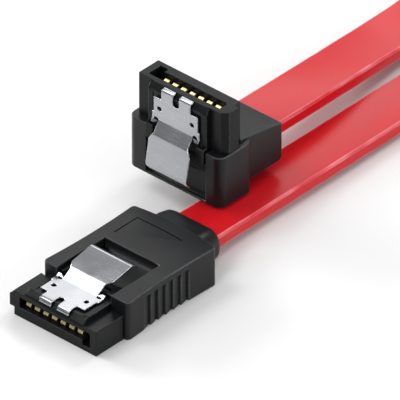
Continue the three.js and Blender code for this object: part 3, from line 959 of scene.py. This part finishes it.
@dataclass
class Studio:
    """Camera, floor and lights.

    Attributes:
        target_mm: The point in the middle of the picture.
        azimuth: The camera's direction round the object, in degrees.
        elevation: Its height above the floor, in degrees.
        lens: Its focal length, in millimetres.
        sensor: Its sensor's width, in millimetres.
        visible_width: The width that the picture shows at the target, in metres.
        clip_near: Where the camera starts to see, as a share of its distance.
        clip_far: Where it stops, as a share of its distance.
        floor_size: The floor's length and width, in metres.
        floor_grey: The linear lightness of the floor's paper.
        floor_roughness: How widely the paper spreads a reflection.
        floor_specular: How strongly the paper mirrors.
        horizon_strength: How bright the room is at the floor's height.
        zenith_strength: How bright it is overhead.
        softboxes: The lights.
    """

    target_mm: tuple[float, float, float] = (18.2, 5.76, 0.0)
    azimuth: float = -47.85
    elevation: float = 34.5
    lens: float = 1500.0
    sensor: float = 36.0
    visible_width: float = 0.04391
    clip_near: float = 0.05
    clip_far: float = 20.0
    floor_size: float = 6.0
    floor_grey: float = 0.8
    floor_roughness: float = 0.35
    floor_specular: float = 0.3
    horizon_strength: float = 0.15
    zenith_strength: float = 0.6
    softboxes: tuple[Softbox, ...] = (
        Softbox("key", (-0.25, 0.55, 0.9), (0.42, 0.42), 3.0),
        Softbox("side", (-0.1, 1.0, 0.3), (0.4, 0.4), 8.0),
        Softbox("back", (0.8, 0.6, 0.56), (0.62, 0.42), 1.7),
        Softbox("rear", (0.75, 0.0, 0.8), (0.3, 0.3), 2.6),
        Softbox("left", (-0.8, -0.1, 0.5), (0.4, 0.4), 2.6),
        Softbox("right", (0.3, -1.0, 0.35), (0.5, 0.5), 5.2),
    )

    def back(self) -> Vector:
        """The direction from the target to the camera.

        Returns:
            A unit vector.
        """
        a, e = math.radians(self.azimuth), math.radians(self.elevation)
        return Vector((math.sin(a) * math.cos(e), -math.cos(a) * math.cos(e), math.sin(e)))

    def add_camera(self) -> None:
        """Puts a long lens where the photograph was taken from."""
        data = bpy.data.cameras.new("camera")
        data.lens = self.lens
        data.sensor_width = self.sensor
        distance = self.visible_width * self.lens / self.sensor
        data.clip_start, data.clip_end = distance * self.clip_near, distance * self.clip_far
        camera = bpy.data.objects.new("camera", data)
        bpy.context.scene.collection.objects.link(camera)
        camera.location = mm(*self.target_mm) + self.back() * distance
        camera.rotation_mode = "QUATERNION"
        camera.rotation_quaternion = (-self.back()).to_track_quat("-Z", "Y")
        bpy.context.scene.camera = camera

    def add_floor(self) -> None:
        """Lays the floor: pale calendered paper, smooth enough for a soft mirror image at a low angle."""
        half = self.floor_size / 2
        corners = [(-half, -half, 0), (half, -half, 0), (half, half, 0), (-half, half, 0)]
        mesh = bpy.data.meshes.new("floor")
        mesh.from_pydata(corners, [], [(0, 1, 2, 3)])
        floor = bpy.data.objects.new("floor", mesh)
        material = bpy.data.materials.new("floor_paper")
        material.use_nodes = True
        shader = material.node_tree.nodes["Principled BSDF"]
        shader.inputs["Base Color"].default_value = (*(self.floor_grey,) * 3, 1)
        shader.inputs["Roughness"].default_value = self.floor_roughness
        shader.inputs["Specular IOR Level"].default_value = self.floor_specular
        mesh.materials.append(material)
        bpy.context.scene.collection.objects.link(floor)

    def add_lights(self) -> None:
        """Adds the soft studio light."""
        bpy.context.scene.view_settings.view_transform = "Standard"
        world = bpy.data.worlds.new("studio")
        bpy.context.scene.world = world
        world.use_nodes = True
        tree = world.node_tree
        tree.nodes.clear()
        direction = add_node(tree, "ShaderNodeTexCoord").outputs["Generated"]
        height = add_node(tree, "ShaderNodeSeparateXYZ", {"Vector": direction}).outputs["Z"]
        strength = add_node(
            tree,
            "ShaderNodeMapRange",
            {"Value": height, "To Min": self.horizon_strength, "To Max": self.zenith_strength},
        ).outputs["Result"]
        sky = add_node(tree, "ShaderNodeBackground", {"Color": (1, 1, 1, 1), "Strength": strength})
        add_node(tree, "ShaderNodeOutputWorld", {"Surface": sky.outputs["Background"]})
        for softbox in self.softboxes:
            softbox.build(mm(*self.target_mm))


def main() -> None:
    """Loads the frame, dresses it and lights it."""
    logging.basicConfig(level=logging.INFO, format="%(message)s")
    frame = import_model()
    studio = Studio()
    studio.add_camera()
    tie = MouldedPiece("coil_tie", TIE, "tie_plastic", "cable", COIL_TIE_EDGE).build(frame)
    FlatCable().build(tie)
    for prefix in ("straight", "angled"):
        Plug(prefix).build(frame)
    studio.add_floor()
    studio.add_lights()
    bpy.context.view_layer.update()


if __name__ == "__main__":
    main()
